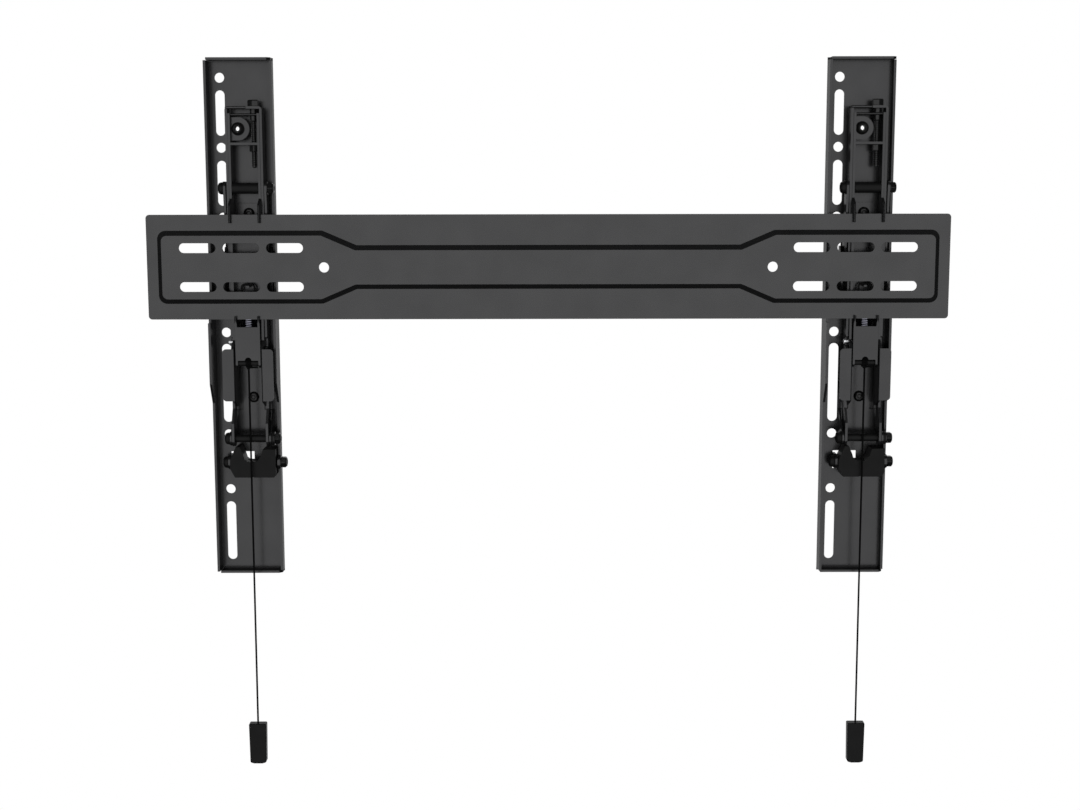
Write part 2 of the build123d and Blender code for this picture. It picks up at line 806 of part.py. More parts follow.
# Latch: small channel with two prongs that catch the plate's lower edge
latch_tip = plate_low + latch_overlap
latch_back = latch_front + latch_depth
latch_hook_back = emboss_depth - hook_gap
latch_shelf = plate_low - latch_shoulder
latch_tab_z = spring_low - spring_eye
with BuildPart() as latch:
    with BuildSketch(Plane.YZ.offset(latch_half - latch_sheet)):
        with BuildLine():
            Polyline(
                (latch_tip_front, latch_tip),
                (latch_hook_back, latch_tip),
                (latch_hook_back, latch_shelf),
                (latch_back, latch_shelf),
                (latch_back, latch_low),
                (latch_bar_y + latch_ear_r, latch_bar_z),
                (latch_bar_y - latch_ear_r, latch_bar_z),
                (latch_front, latch_top),
                (latch_tip_front, latch_shelf),
                close=True,
            )
        make_face()
        with Locations((latch_bar_y, latch_bar_z)):
            Circle(latch_ear_r)
            Circle(latch_bar_d / 2 + pin_fit, mode=Mode.SUBTRACT)
        with Locations((latch_pin_y, latch_pin_z + latch_travel / 2)):
            SlotOverall(
                latch_pin_d + latch_travel + 2 * tube_gap,
                latch_pin_d + 2 * tube_gap,
                rotation=90,
                mode=Mode.SUBTRACT,
            )
    extrude(amount=latch_sheet)
    prongs = latch.edges().filter_by(Axis.Z)
    prongs = prongs.filter_by_position(Axis.Y, latch_tip_front - edge_reach, latch_tip_front + edge_reach)
    chamfer(prongs, length=prong_chamfer)
    mirror(about=Plane.YZ)
    with BuildSketch(Plane.XZ.offset(-latch_front)):
        with Locations((0, (latch_top + latch_low) / 2)):
            Rectangle(2 * latch_half, latch_height)
        with Locations((0, latch_low)):
            Circle(latch_notch_r, mode=Mode.SUBTRACT)
    extrude(amount=-latch_sheet)
    with BuildSketch(Plane.XZ.offset(-latch_front - latch_sheet / 2)):
        with Locations((0, latch_tab_z + spring_tab / 2)):
            Rectangle(2 * spring_tab_half, spring_tab)
    extrude(amount=-(spring_y + spring_wire - latch_front - latch_sheet / 2))

# Cross bar through the latch's ears, which the cord is tied round
with BuildPart() as latch_bar:
    with BuildSketch(Plane.YZ):
        with Locations((latch_bar_y, latch_bar_z)):
            Circle(latch_bar_d / 2)
    extrude(amount=latch_half, both=True)

# Latch pin with its head outside the frame, and a plain stud in the other cheek
latch_pin_tip = latch_half - latch_sheet - tube_gap
latch_head_x = frame_out + tube_gap
with BuildPart() as latch_pin:
    with BuildSketch(Plane.YZ.offset(-latch_head_x)):
        with Locations((latch_pin_y, latch_pin_z)):
            Circle(latch_pin_d / 2)
    extrude(amount=latch_head_x - latch_pin_tip)
    with BuildSketch(Plane.YZ.offset(-latch_head_x)):
        with Locations((latch_pin_y, latch_pin_z)):
            Circle(latch_pin_head_r)
    extrude(amount=-latch_pin_head)
    chamfer(latch_pin.edges().group_by(Axis.X)[0], length=latch_pin_round)

with BuildPart() as latch_stud:
    with BuildSketch(Plane.YZ.offset(latch_pin_tip)):
        with Locations((latch_pin_y, latch_pin_z)):
            Circle(latch_pin_d / 2)
    extrude(amount=cheek_out - latch_pin_tip)

# Latch spring: a close-wound extension spring with an arched hook at each end
spring_length = spring_top - spring_low
spring_coils = round(spring_length / spring_wire)
spring_pitch = spring_length / spring_coils
spring_out = spring_r + spring_wire / 2
with BuildPart() as latch_spring:
    with BuildSketch(Plane.XZ.offset(-spring_y)):
        with BuildLine():
            crests = [(spring_out - spring_groove, spring_low)]
            for coil in range(spring_coils):
                foot = spring_low + coil * spring_pitch
                crests.append((spring_out, foot + spring_pitch / 2))
                crests.append((spring_out - spring_groove, foot + spring_pitch))
            bore = spring_r - spring_wire / 2
            Polyline(*crests, (bore, spring_top), (bore, spring_low), close=True)
        make_face()
    revolve(axis=Axis((0, spring_y, 0), (0, 0, 1)))
    for end_z, side in ((spring_top, 1), (spring_low, -1)):
        with BuildLine():
            hook = ThreePointArc(
                (-spring_r, spring_y, end_z),
                (0, spring_y, end_z + side * spring_r),
                (spring_r, spring_y, end_z),
            )
        with BuildSketch(Plane(origin=hook @ 0, z_dir=hook % 0)):
            Circle(spring_wire / 2 - spring_seat)
        sweep(path=hook)

# Pull cord with its knot, and the handle it ends in
with BuildPart() as pull_cord:
    with BuildSketch(Plane.XY.offset(cord_top_z)):
        with Locations((0, cord_y)):
            Circle(cord_d / 2)
    extrude(amount=handle_top_z - cord_top_z)
    with BuildSketch(Plane.XY.offset(cord_top_z)):
        with Locations((0, cord_y)):
            Circle(cord_knot_r)
    extrude(amount=-1.5 * cord_knot_r)

with BuildPart() as pull_handle:
    handle_low_z = handle_top_z - handle_length
    with BuildSketch(Plane.XZ.offset(handle_thick / 2 - cord_y)):
        with BuildLine():
            Polyline(
                (-handle_low_half, handle_low_z),
                (-handle_top_half, handle_top_z),
                (handle_top_half, handle_top_z),
                (handle_low_half, handle_low_z),
            )
            ThreePointArc(
                (-handle_low_half, handle_low_z),
                (0, handle_low_z - handle_belly),
                (handle_low_half, handle_low_z),
            )
        make_face()
    extrude(amount=-handle_thick)
    chamfer(pull_handle.edges(), length=handle_round)

arm_pieces = {
    "hook_bracket": hook_bracket.part,
    "level_nut": level_nut.part,
    "buffer": buffer.part.moved(buffer_place),
    "latch_pin": latch_pin.part,
    "latch_stud": latch_stud.part,
    "latch_spring": latch_spring.part,
    "lift_frame": lift_frame.part,
    "upper_bolt": upper_bolt,
    "upper_nut": upper_nut,
    "upper_tube": upper_tube,
    "lower_bolt": lower_bolt,
    "lower_nut": lower_nut,
    "lower_tube": lower_tube,
    "lower_washer": lower_washer.part,
    "level_screw": level_screw.part,
    "tilt_link_left": tilt_link_left.part,
    "tilt_link_right": tilt_link_right.part,
    "tilt_rail": tilt_rail.part,
    "rail_rivet_top": rail_rivet(rail_screw_top_z),
    "rail_rivet_low": rail_rivet(rail_screw_low_z),
    "vesa_channel": vesa_channel.part,
    "cord_guide": cord_guide.part,
    "guide_bolt": guide_bolt,
    "guide_nut": guide_nut,
    "latch": latch.part,
    "latch_bar": latch_bar.part,
    "pull_cord": pull_cord.part,
    "pull_handle": pull_handle.part,
}

os.makedirs("parts", exist_ok=True)
wall_plate.part.label = "wall_plate"
export_step(wall_plate.part, "parts/wall_plate.step")
for arm, arm_x in (("left", left_arm_x), ("right", right_arm_x)):
    for name, piece in arm_pieces.items():
        placed = piece.moved(Location((arm_x, 0, 0)))
        placed.label = f"{arm}_{name}"
        export_step(placed, f"parts/{placed.label}.step")
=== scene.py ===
"""Tilting wall bracket for a flat screen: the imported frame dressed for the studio."""

import json
import math

import bpy
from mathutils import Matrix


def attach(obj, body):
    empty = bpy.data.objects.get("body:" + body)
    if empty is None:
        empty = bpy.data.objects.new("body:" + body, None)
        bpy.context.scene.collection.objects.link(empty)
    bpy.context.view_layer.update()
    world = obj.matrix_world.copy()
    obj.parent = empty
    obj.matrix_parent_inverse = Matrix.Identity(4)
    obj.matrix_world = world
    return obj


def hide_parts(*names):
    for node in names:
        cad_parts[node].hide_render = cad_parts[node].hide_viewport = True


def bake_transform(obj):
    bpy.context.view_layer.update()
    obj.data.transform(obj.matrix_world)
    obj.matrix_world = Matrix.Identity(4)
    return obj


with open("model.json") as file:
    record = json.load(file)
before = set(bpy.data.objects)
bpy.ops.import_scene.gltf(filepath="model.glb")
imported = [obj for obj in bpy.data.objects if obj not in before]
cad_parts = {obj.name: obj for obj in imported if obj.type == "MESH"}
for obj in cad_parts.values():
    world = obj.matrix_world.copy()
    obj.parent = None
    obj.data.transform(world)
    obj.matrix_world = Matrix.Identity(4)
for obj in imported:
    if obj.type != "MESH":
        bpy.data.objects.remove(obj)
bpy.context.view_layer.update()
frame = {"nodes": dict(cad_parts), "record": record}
nodes = frame["nodes"]
body_of = {n: b for b, ns in frame["record"]["behaviour"]["bodies"].items() for n in ns}

MM = 0.001
ARMS = {"left": -248.7 * MM, "right": 262.3 * MM}

# Finishes


def grey(tone):
    """A neutral colour."""
    return (tone, tone, tone)


def new_finish(name, gloss=0.5, metal=0.0, rim=1.0):
    """An empty node material with its shader and output in place; rim tones down grazing gloss."""
    finish = bpy.data.materials.new(name)
    finish.use_nodes = True
    tree = finish.node_tree
    tree.nodes.clear()
    out = tree.nodes.new("ShaderNodeOutputMaterial")
    shader = tree.nodes.new("ShaderNodeBsdfPrincipled")
    shader.inputs["Specular IOR Level"].default_value = gloss
    shader.inputs["Metallic"].default_value = metal
    shader.inputs["Specular Tint"].default_value = (rim, rim, rim, 1)
    tree.links.new(shader.outputs["BSDF"], out.inputs["Surface"])
    return finish, tree, shader


COAT_DRIFT = 38.0
COAT_CLOUD = 240.0
MOULD_DRIFT = 90.0
DRAW_MARKS = 700.0
STRAND_ROUND = 1500.0
STRAND_ALONG = 900.0
STRAND_BANDS = 0.32


def object_noise(tree, scale, detail=2.0, rough=0.5):
    """Noise read on the piece's own Object coordinates."""
    where = tree.nodes.new("ShaderNodeTexCoord")
    noise = tree.nodes.new("ShaderNodeTexNoise")
    noise.inputs["Scale"].default_value = scale
    noise.inputs["Detail"].default_value = detail
    noise.inputs["Roughness"].default_value = rough
    tree.links.new(where.outputs["Object"], noise.inputs["Vector"])
    return noise.outputs["Fac"]


def span(tree, source, low, high):
    """Maps a 0 to 1 signal onto low to high."""
    change = tree.nodes.new("ShaderNodeMapRange")
    change.inputs["To Min"].default_value = low
    change.inputs["To Max"].default_value = high
    tree.links.new(source, change.inputs["Value"])
    return change.outputs["Result"]


def two_tone(tree, source, dark, light):
    """Colour that drifts between two close tones."""
    ramp = tree.nodes.new("ShaderNodeValToRGB")
    ramp.color_ramp.elements[0].position = 0.3
    ramp.color_ramp.elements[1].position = 0.7
    ramp.color_ramp.elements[0].color = (*dark, 1)
    ramp.color_ramp.elements[1].color = (*light, 1)
    tree.links.new(source, ramp.inputs["Fac"])
    return ramp.outputs["Color"]


def grain(tree, shader, height, depth, strength):
    """Fine surface relief from a height signal."""
    bump = tree.nodes.new("ShaderNodeBump")
    bump.inputs["Strength"].default_value = strength
    bump.inputs["Distance"].default_value = depth
    tree.links.new(height, bump.inputs["Height"])
    tree.links.new(bump.outputs["Normal"], shader.inputs["Normal"])


def coated_steel(name, dark, light, rough, peel, depth, **gloss):
    """Coated or blackened steel: near-black with a fine peel and a slow drift in gloss."""
    finish, tree, shader = new_finish(name, **gloss)
    drift = object_noise(tree, COAT_DRIFT, 3.0)
    tree.links.new(two_tone(tree, drift, dark, light), shader.inputs["Base Color"])
    cloud = object_noise(tree, COAT_CLOUD)
    tree.links.new(span(tree, cloud, *rough), shader.inputs["Roughness"])
    grain(tree, shader, object_noise(tree, peel, 1.0), depth, 0.3)
    return finish


def moulded(name, dark, light, rough, gloss, scale, depth):
    """Moulded plastic or rubber with a spark-eroded grain."""
    finish, tree, shader = new_finish(name, gloss)
    drift = object_noise(tree, MOULD_DRIFT)
    tree.links.new(two_tone(tree, drift, dark, light), shader.inputs["Base Color"])
    fine = object_noise(tree, scale, 3.0, 0.6)
    tree.links.new(span(tree, fine, *rough), shader.inputs["Roughness"])
    grain(tree, shader, fine, depth, 0.4)
    return finish


def bare_metal(name, dark, light, rough):
    """Bare or plated metal with fine draw marks."""
    finish, tree, shader = new_finish(name, 0.5, 1.0)
    marks = object_noise(tree, DRAW_MARKS, 3.0, 0.7)
    tree.links.new(two_tone(tree, marks, dark, light), shader.inputs["Base Color"])
    tree.links.new(span(tree, marks, *rough), shader.inputs["Roughness"])
    grain(tree, shader, marks, 0.000006, 0.3)
    return finish


def braided(name):
    """Thin braided cord: crossing diagonal strands."""
    finish, tree, shader = new_finish(name, 0.05)
    shader.inputs["Roughness"].default_value = 0.9
    where = tree.nodes.new("ShaderNodeTexCoord")
    both = tree.nodes.new("ShaderNodeMath")
    both.operation = "MAXIMUM"
    for strand, lean in enumerate((1.0, -1.0)):
        turn = tree.nodes.new("ShaderNodeMapping")
        turn.inputs["Scale"].default_value = (STRAND_ROUND, STRAND_ROUND * lean, STRAND_ALONG)
        wave = tree.nodes.new("ShaderNodeTexWave")
        wave.bands_direction = "DIAGONAL"
        wave.inputs["Scale"].default_value = STRAND_BANDS
        tree.links.new(where.outputs["Object"], turn.inputs["Vector"])
        tree.links.new(turn.outputs["Vector"], wave.inputs["Vector"])
        tree.links.new(wave.outputs["Fac"], both.inputs[strand])
    weave = both.outputs["Value"]
    tree.links.new(two_tone(tree, weave, grey(0.001), grey(0.004)), shader.inputs["Base Color"])
    grain(tree, shader, weave, 0.0001, 0.5)
    return finish


COAT_DARK = (0.051, 0.051, 0.052)
COAT_LIGHT = (0.057, 0.057, 0.058)
PLATE_DARK = (0.058, 0.058, 0.059)
PLATE_LIGHT = (0.064, 0.064, 0.065)
COAT_GLOSS = {"metal": 0.8, "rim": 0.3}
COAT_PEEL = 900.0
BLACK_PEEL = 1800.0
sheet_coat = coated_steel(
    "sheet_coat", COAT_DARK, COAT_LIGHT, (0.19, 0.25), COAT_PEEL, 0.000004, **COAT_GLOSS
)
plate_coat = coated_steel(
    "plate_coat", PLATE_DARK, PLATE_LIGHT, (0.24, 0.30), COAT_PEEL, 0.000005, **COAT_GLOSS
)
bolt_black = coated_steel(
    "bolt_black", grey(0.006), grey(0.009), (0.36, 0.48), BLACK_PEEL, 0.000006, gloss=0.1
)
nut_black = coated_steel(
    "nut_black", grey(0.003), grey(0.006), (0.22, 0.32), BLACK_PEEL, 0.000004, gloss=0.4
)
screw_black = coated_steel(
    "screw_black", grey(0.005), grey(0.009), (0.24, 0.32), BLACK_PEEL, 0.000004, gloss=0.4
)
rubber = moulded(
    "buffer_rubber", grey(0.004), grey(0.007), (0.55, 0.75), 0.2, 1500.0, 0.00002
)
guide_plastic = moulded(
    "guide_plastic", grey(0.003), grey(0.005), (0.36, 0.46), 0.12, 1700.0, 0.000008
)
coil_wire = bare_metal("coil_wire", (0.20, 0.20, 0.24), (0.30, 0.30, 0.35), (0.14, 0.22))
zinc = bare_metal("zinc_plate", (0.84, 0.85, 0.87), (0.92, 0.93, 0.94), (0.42, 0.52))
cord_braid = braided("cord_braid")

# Modelling steps


def coat(piece, finish):
    """Gives a piece one finish all over."""
    piece.data.materials.clear()
    piece.data.materials.append(finish)


def pick_only(piece):
    """Selects one object alone and makes it active."""
    bpy.ops.object.select_all(action="DESELECT")
    piece.select_set(True)
    bpy.context.view_layer.objects.active = piece


def start_edit(piece):
    """Opens one piece in edit mode with everything in it selected."""
    pick_only(piece)
    bpy.ops.object.mode_set(mode="EDIT")
    bpy.ops.mesh.select_all(action="SELECT")


def end_edit():
    """Turns all faces outwards and leaves edit mode."""
    bpy.ops.mesh.select_all(action="SELECT")
    bpy.ops.mesh.normals_make_consistent(inside=False)
    bpy.ops.object.mode_set(mode="OBJECT")


def named(name):
    """The object that was just added, under its own name."""
    piece = bpy.context.active_object
    piece.name = name
    piece.data.name = name
    return piece


def duplicate(source, name):
    """A copy of an object with a mesh of its own."""
    piece = source.copy()
    piece.data = source.data.copy()
    for key in list(piece.keys()):
        del piece[key]
    piece.parent = None
    piece.name = name
    piece.data.name = name
    bpy.context.scene.collection.objects.link(piece)
    return piece


def put(piece, place=(0, 0, 0), turn=(0, 0, 0), size=(1, 1, 1)):
    """Moves a piece to its place, with the place then kept in its mesh."""
    pick_only(piece)
    piece.location = [c * MM for c in place]
    piece.rotation_euler = [math.radians(t) for t in turn]
    piece.scale = size
    bpy.ops.object.transform_apply(location=True, rotation=True, scale=True)


def smooth(piece, angle=38.0):
    """Smooth shading with normals that follow the large faces."""
    pick_only(piece)
    bpy.ops.object.shade_smooth_by_angle(angle=math.radians(angle))
    even = piece.modifiers.new("even_normals", "WEIGHTED_NORMAL")
    even.keep_sharp = True
    even.weight = 90
    bpy.ops.object.modifier_apply(modifier="even_normals")


def round_edges(piece, width, steps=2, angle=28.0):
    """Rounds a piece's sharp edges over and keeps its flat faces flat."""
    pick_only(piece)
    ease = piece.modifiers.new("round_over", "BEVEL")
    ease.width = width * MM
    ease.segments = steps
    ease.limit_method = "ANGLE"
    ease.angle_limit = math.radians(angle)
    ease.use_clamp_overlap = True
    bpy.ops.object.modifier_apply(modifier="round_over")
    smooth(piece)


def round_rim(piece, width, low, high):
    """A wider round on the sharp edges that lie inside a box."""
    start_edit(piece)
    bpy.ops.mesh.select_mode(type="EDGE")
    bpy.ops.mesh.select_all(action="DESELECT")
    bpy.ops.mesh.edges_select_sharp(sharpness=math.radians(40.0))
    bpy.ops.object.mode_set(mode="OBJECT")
    inside = [
        all(a * MM <= c <= b * MM for a, c, b in zip(low, point.co, high))
        for point in piece.data.vertices
    ]
    for edge in piece.data.edges:
        edge.select = edge.select and all(inside[i] for i in edge.vertices)
    bpy.ops.object.mode_set(mode="EDIT")
    bpy.ops.mesh.bevel(offset=width * MM, segments=3, affect="EDGES", clamp_overlap=True)
    bpy.ops.mesh.select_mode(type="VERT")
    bpy.ops.object.mode_set(mode="OBJECT")


def eased_copy(node, kind, finish, ease, steps=2, rims=()):
    """The solid with its edges rounded over, as a coated or moulded edge is."""
    piece = duplicate(nodes[node], f"{node}_{kind}")
    start_edit(piece)
    bpy.ops.mesh.remove_doubles(threshold=0.000002)
    bpy.ops.mesh.dissolve_limited(angle_limit=math.radians(0.6))
    bpy.ops.object.mode_set(mode="OBJECT")
    for width, low, high in rims:
        round_rim(piece, width, low, high)
    round_edges(piece, ease, steps)
    coat(piece, finish)
    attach(piece, body_of[node])
    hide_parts(node)


def block(name, low, high):
    """A block between two corners, to be shaped further."""
    bpy.ops.object.select_all(action="DESELECT")
    bpy.ops.mesh.primitive_cube_add(size=1.0, location=(0, 0, 0))
    piece = named(name)
    middle = [(a + b) / 2 for a, b in zip(low, high)]
    put(piece, middle, size=[(b - a) * MM for a, b in zip(low, high)])
    return piece


def join(name, *parts):
    """Joins several meshes into one piece."""
    pick_only(parts[0])
    for part in parts[1:]:
        part.select_set(True)
    bpy.ops.object.join()
    return named(name)


def turned(name, rings, sides=28):
    """A turned or many-sided piece along +Z, drawn up ring by ring from (height, radius) pairs."""
    height, radius = rings[0]
    bpy.ops.object.select_all(action="DESELECT")
    bpy.ops.mesh.primitive_circle_add(
        vertices=sides, radius=radius * MM, fill_type="NGON", location=(0, 0, 0)
    )
    piece = named(name)
    start_edit(piece)
    bpy.ops.transform.translate(value=(0, 0, height * MM))
    for next_height, next_radius in rings[1:]:
        rise = (next_height - height) * MM
        bpy.ops.mesh.extrude_region_move(TRANSFORM_OT_translate={"value": (0, 0, rise)})
        grow = next_radius / radius
        bpy.ops.transform.resize(value=(grow, grow, 1), center_override=(0, 0, next_height * MM))
        height, radius = next_height, next_radius
    end_edit()
    return piece


def wound(name, section, sides, radius, pitch, turns, low, steps):
    """A wire or thread wound up round Z: a section swept by the Screw modifier, ends closed."""
    bpy.ops.object.select_all(action="DESELECT")
    bpy.ops.mesh.primitive_circle_add(vertices=sides, radius=section * MM, location=(0, 0, 0))
    piece = named(name)
    put(piece, (radius, 0, low), (90, 0, 0))
    wind = piece.modifiers.new("wind", "SCREW")
    wind.steps = steps
    wind.render_steps = steps
    wind.iterations = turns
    wind.screw_offset = pitch * MM
    bpy.ops.object.modifier_apply(modifier="wind")
    start_edit(piece)
    bpy.ops.mesh.fill_holes(sides=sides)
    end_edit()
    return piece


def arched_wire(name, wire, half, rise, bend, foot, side):
    """A wire arch across X: from one foot, round two bends, to the other foot."""
    bpy.ops.object.select_all(action="DESELECT")
    bpy.ops.mesh.primitive_circle_add(
        vertices=12, radius=wire * MM, fill_type="NGON", location=(0, 0, 0)
    )
    piece = named(name)
    start_edit(piece)
    bpy.ops.transform.translate(value=(-half * MM, 0, foot * MM))
    leg = rise - bend
    top = foot + side * leg
    for run, corner in (
        ((0, 0, side * leg), (-half + bend, 0, top)),
        ((2 * (half - bend), 0, 0), (half - bend, 0, top)),
    ):
        bpy.ops.mesh.extrude_region_move(TRANSFORM_OT_translate={"value": [c * MM for c in run]})
        bpy.ops.mesh.spin(
            steps=7, angle=-side * math.pi / 2, center=[c * MM for c in corner], axis=(0, 1, 0)
        )
    bpy.ops.mesh.extrude_region_move(TRANSFORM_OT_translate={"value": (0, 0, -side * leg * MM)})
    end_edit()
    return piece


def fit_on_arms(master, kind, stands_for=None, rides=None):
    """A copy of an arm-centred master on each arm, for that arm's own solid or new on a body."""
    for arm, arm_x in ARMS.items():
        piece = duplicate(master, f"{arm}_{kind}")
        put(piece, (arm_x / MM, 0, 0))
        if rides:
            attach(piece, f"{arm}_{rides}")
        else:
            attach(piece, body_of[f"{arm}_{stands_for}"])
            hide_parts(f"{arm}_{stands_for}")
    bpy.data.objects.remove(master)


# Folded sheets, tubes, washers, levelling nuts and mouldings: the solids with eased edges

SHEETS = (
    "lift_frame",
    "tilt_link_left",
    "tilt_link_right",
    "tilt_rail",
    "vesa_channel",
    "latch",
)
BLACKED = ("lower_washer", "upper_tube", "lower_tube", "latch_stud", "latch_bar")
PLATE_EASE = 0.4
SHEET_EASE = 0.18
BLACKED_EASE = 0.25
NUT_EASE = 0.5
MOULD_EASE = 0.5
TONGUE_LEFT = -16.0
TONGUE_RIGHT = 6.0
TONGUE_FRONT = 14.2
TONGUE_LOW = 102.0
TONGUE_HIGH = 122.5
TONGUE_EASE = 0.7
NEAR = 0.1

eased_copy("wall_plate", "pressed", plate_coat, PLATE_EASE, 3)
for arm, arm_x in ARMS.items():
    middle = arm_x / MM
    tongue_low = (middle + TONGUE_LEFT, TONGUE_FRONT - NEAR, TONGUE_LOW)
    tongue_high = (middle + TONGUE_RIGHT, TONGUE_FRONT + NEAR, TONGUE_HIGH)
    rim = (TONGUE_EASE, tongue_low, tongue_high)
    eased_copy(f"{arm}_hook_bracket", "folded", sheet_coat, SHEET_EASE, rims=(rim,))
    for kind in SHEETS:
        eased_copy(f"{arm}_{kind}", "folded", sheet_coat, SHEET_EASE)
    for kind in BLACKED:
        eased_copy(f"{arm}_{kind}", "blacked", bolt_black, BLACKED_EASE)
    eased_copy(f"{arm}_level_nut", "blacked", screw_black, NUT_EASE, 3)
    eased_copy(f"{arm}_cord_guide", "moulded", guide_plastic, MOULD_EASE, 3)
    eased_copy(f"{arm}_buffer", "moulded", rubber, MOULD_EASE, 3)

# Folded top of the lift frame: carries on from the screw's tab to the other cheek

ROOF_LEFT = -15.15
ROOF_RIGHT = 2.3
ROOF_FRONT = 9.8
ROOF_BACK = 22.2
ROOF_LOW = 128.7
ROOF_TOP = 130.7
ROOF_BEND = 1.7
roof = block("roof_master", (ROOF_LEFT, ROOF_FRONT, ROOF_LOW), (ROOF_RIGHT, ROOF_BACK, ROOF_TOP))
bend_low = (ROOF_LEFT - NEAR, ROOF_FRONT - NEAR, ROOF_TOP - NEAR)
bend_high = (ROOF_LEFT + NEAR, ROOF_BACK + NEAR, ROOF_TOP + NEAR)
round_rim(roof, ROOF_BEND, bend_low, bend_high)
round_edges(roof, SHEET_EASE)
coat(roof, sheet_coat)
fit_on_arms(roof, "lift_frame_roof", rides="frame")

# Cross bolts and nuts: turned dome heads with a hexagon socket, flanged nuts with a collar

HEAD_RINGS = (
    (0.0, 5.6),
    (0.55, 5.6),
    (0.8, 5.3),
    (0.8, 5.0),
    (2.4, 4.95),
    (3.3, 4.7),
    (4.0, 4.2),
    (4.4, 3.6),
    (4.6, 2.9),
)
COLLAR_RINGS = ((4.6, 3.9), (5.1, 3.9), (5.45, 3.6), (5.6, 3.1), (5.6, 2.4), (5.0, 2.2))
# Each bolt: shank diameter, grip, places of head and nut across the arm, depth and height
CROSS_BOLTS = {
    "upper": (6.0, 39.2, -17.8, 17.8, 13.0, 64.3),
    "lower": (5.0, 40.2, -17.2, 19.4, 9.5, -143.3),
    "guide": (5.0, 47.0, -20.85, 22.55, 19.0, -165.0),
}


def dome_bolt(name, shank_d, grip):
    """Round-headed bolt along +Z, its seat at zero, with a hexagon socket cut into the head."""
    shank = shank_d / 2
    bolt = turned(name, ((-grip, shank - 0.5), (-grip + 0.5, shank), (0.0, shank), *HEAD_RINGS))
    socket = turned(f"{name}_socket", ((2.4, 2.3), (6.0, 2.3)), 6)
    pick_only(bolt)
    cut = bolt.modifiers.new("socket", "BOOLEAN")
    cut.operation = "DIFFERENCE"
    cut.object = socket
    bpy.ops.object.modifier_apply(modifier="socket")
    bpy.data.objects.remove(socket)
    smooth(bolt, 32.0)
    return bolt


def lock_nut(name):
    """Flanged hexagon nut along +Z with a rounded collar on its outer end."""
    flange = turned(f"{name}_flange", ((0.0, 5.6), (0.5, 5.6), (0.8, 5.2), (0.9, 4.2)))
    hexagon = turned(f"{name}_hexagon", ((0.7, 5.0), (4.3, 5.0), (4.9, 4.4)), 6)
    round_edges(hexagon, 0.22)
    collar = turned(f"{name}_collar", COLLAR_RINGS)
    nut = join(name, flange, hexagon, collar)
    smooth(nut, 32.0)
    return nut


for kind, (shank_d, grip, head_x, nut_x, bolt_y, bolt_z) in CROSS_BOLTS.items():
    bolt = dome_bolt(f"{kind}_bolt_master", shank_d, grip)
    put(bolt, (head_x, bolt_y, bolt_z), (0, -90, 0))
    coat(bolt, bolt_black)
    fit_on_arms(bolt, f"{kind}_bolt_turned", f"{kind}_bolt")
    nut = lock_nut(f"{kind}_nut_master")
    put(nut, (nut_x, bolt_y, bolt_z), (0, 90, 0))
    coat(nut, nut_black)
    fit_on_arms(nut, f"{kind}_nut_turned", f"{kind}_nut")

# Rail rivets: domed heads with a shallow centre dimple

RIVET_RINGS = (
    (-3.6, 2.0),
    (0.0, 2.0),
    (0.0, 4.6),
    (0.7, 4.6),
    (1.4, 4.25),
    (2.0, 3.6),
    (2.45, 2.7),
    (2.6, 1.9),
    (2.3, 1.5),
    (1.9, 1.2),
)
RIVET_Y = 25.9
RIVET_HEIGHTS = {"top": 43.6, "low": -110.5}
for kind, rivet_z in RIVET_HEIGHTS.items():
    rivet = turned(f"rivet_{kind}_master", RIVET_RINGS)
    smooth(rivet, 40.0)
    put(rivet, (0, RIVET_Y, rivet_z), (90, 0, 0))
    coat(rivet, nut_black)
    fit_on_arms(rivet, f"rail_rivet_{kind}_domed", f"rail_rivet_{kind}")

# Latch pins: plated, with a round head outside the cheek

PIN_RINGS = (
    (-7.25, 1.2),
    (-6.95, 1.5),
    (0.0, 1.5),
    (0.0, 2.1),
    (0.95, 2.1),
    (1.3, 1.95),
    (1.6, 1.55),
    (1.75, 1.0),
    (1.8, 0.4),
)
PIN_SEAT = (-15.45, 11.0, -62.5)
pin = turned("pin_master", PIN_RINGS)
smooth(pin, 50.0)
put(pin, PIN_SEAT, (0, -90, 0))
coat(pin, zinc)
fit_on_arms(pin, "latch_pin_plated", "latch_pin")

# Levelling screw: hexagon head, smooth collar and a wound thread

CORE_RINGS = (
    (80.9, 1.2),
    (81.6, 1.7),
    (118.9, 1.7),
    (119.05, 2.5),
    (119.3, 2.7),
    (128.4, 2.7),
    (128.65, 2.5),
    (128.65, 1.95),
    (130.7, 1.95),
    (130.7, 4.3),
    (131.0, 4.3),
)
SCREW_HEAD_RINGS = ((130.95, 4.9), (135.3, 4.9), (136.0, 4.2))
SCREW_PLACE = (7.3, 16.0, 0.0)
screw_head = turned("screw_head", SCREW_HEAD_RINGS, 6)
round_edges(screw_head, 0.25)
screw_core = turned("screw_core", CORE_RINGS)
smooth(screw_core, 32.0)
screw_thread = wound(
    "screw_thread", section=0.5, sides=3, radius=1.85, pitch=1.75, turns=21, low=81.9, steps=20
)
smooth(screw_thread, 20.0)
screw = join("screw_master", screw_core, screw_head, screw_thread)
put(screw, SCREW_PLACE)
coat(screw, screw_black)
fit_on_arms(screw, "level_screw_threaded", "level_screw")

# Latch springs: close-wound coil between two arched hooks, stretched by the latch

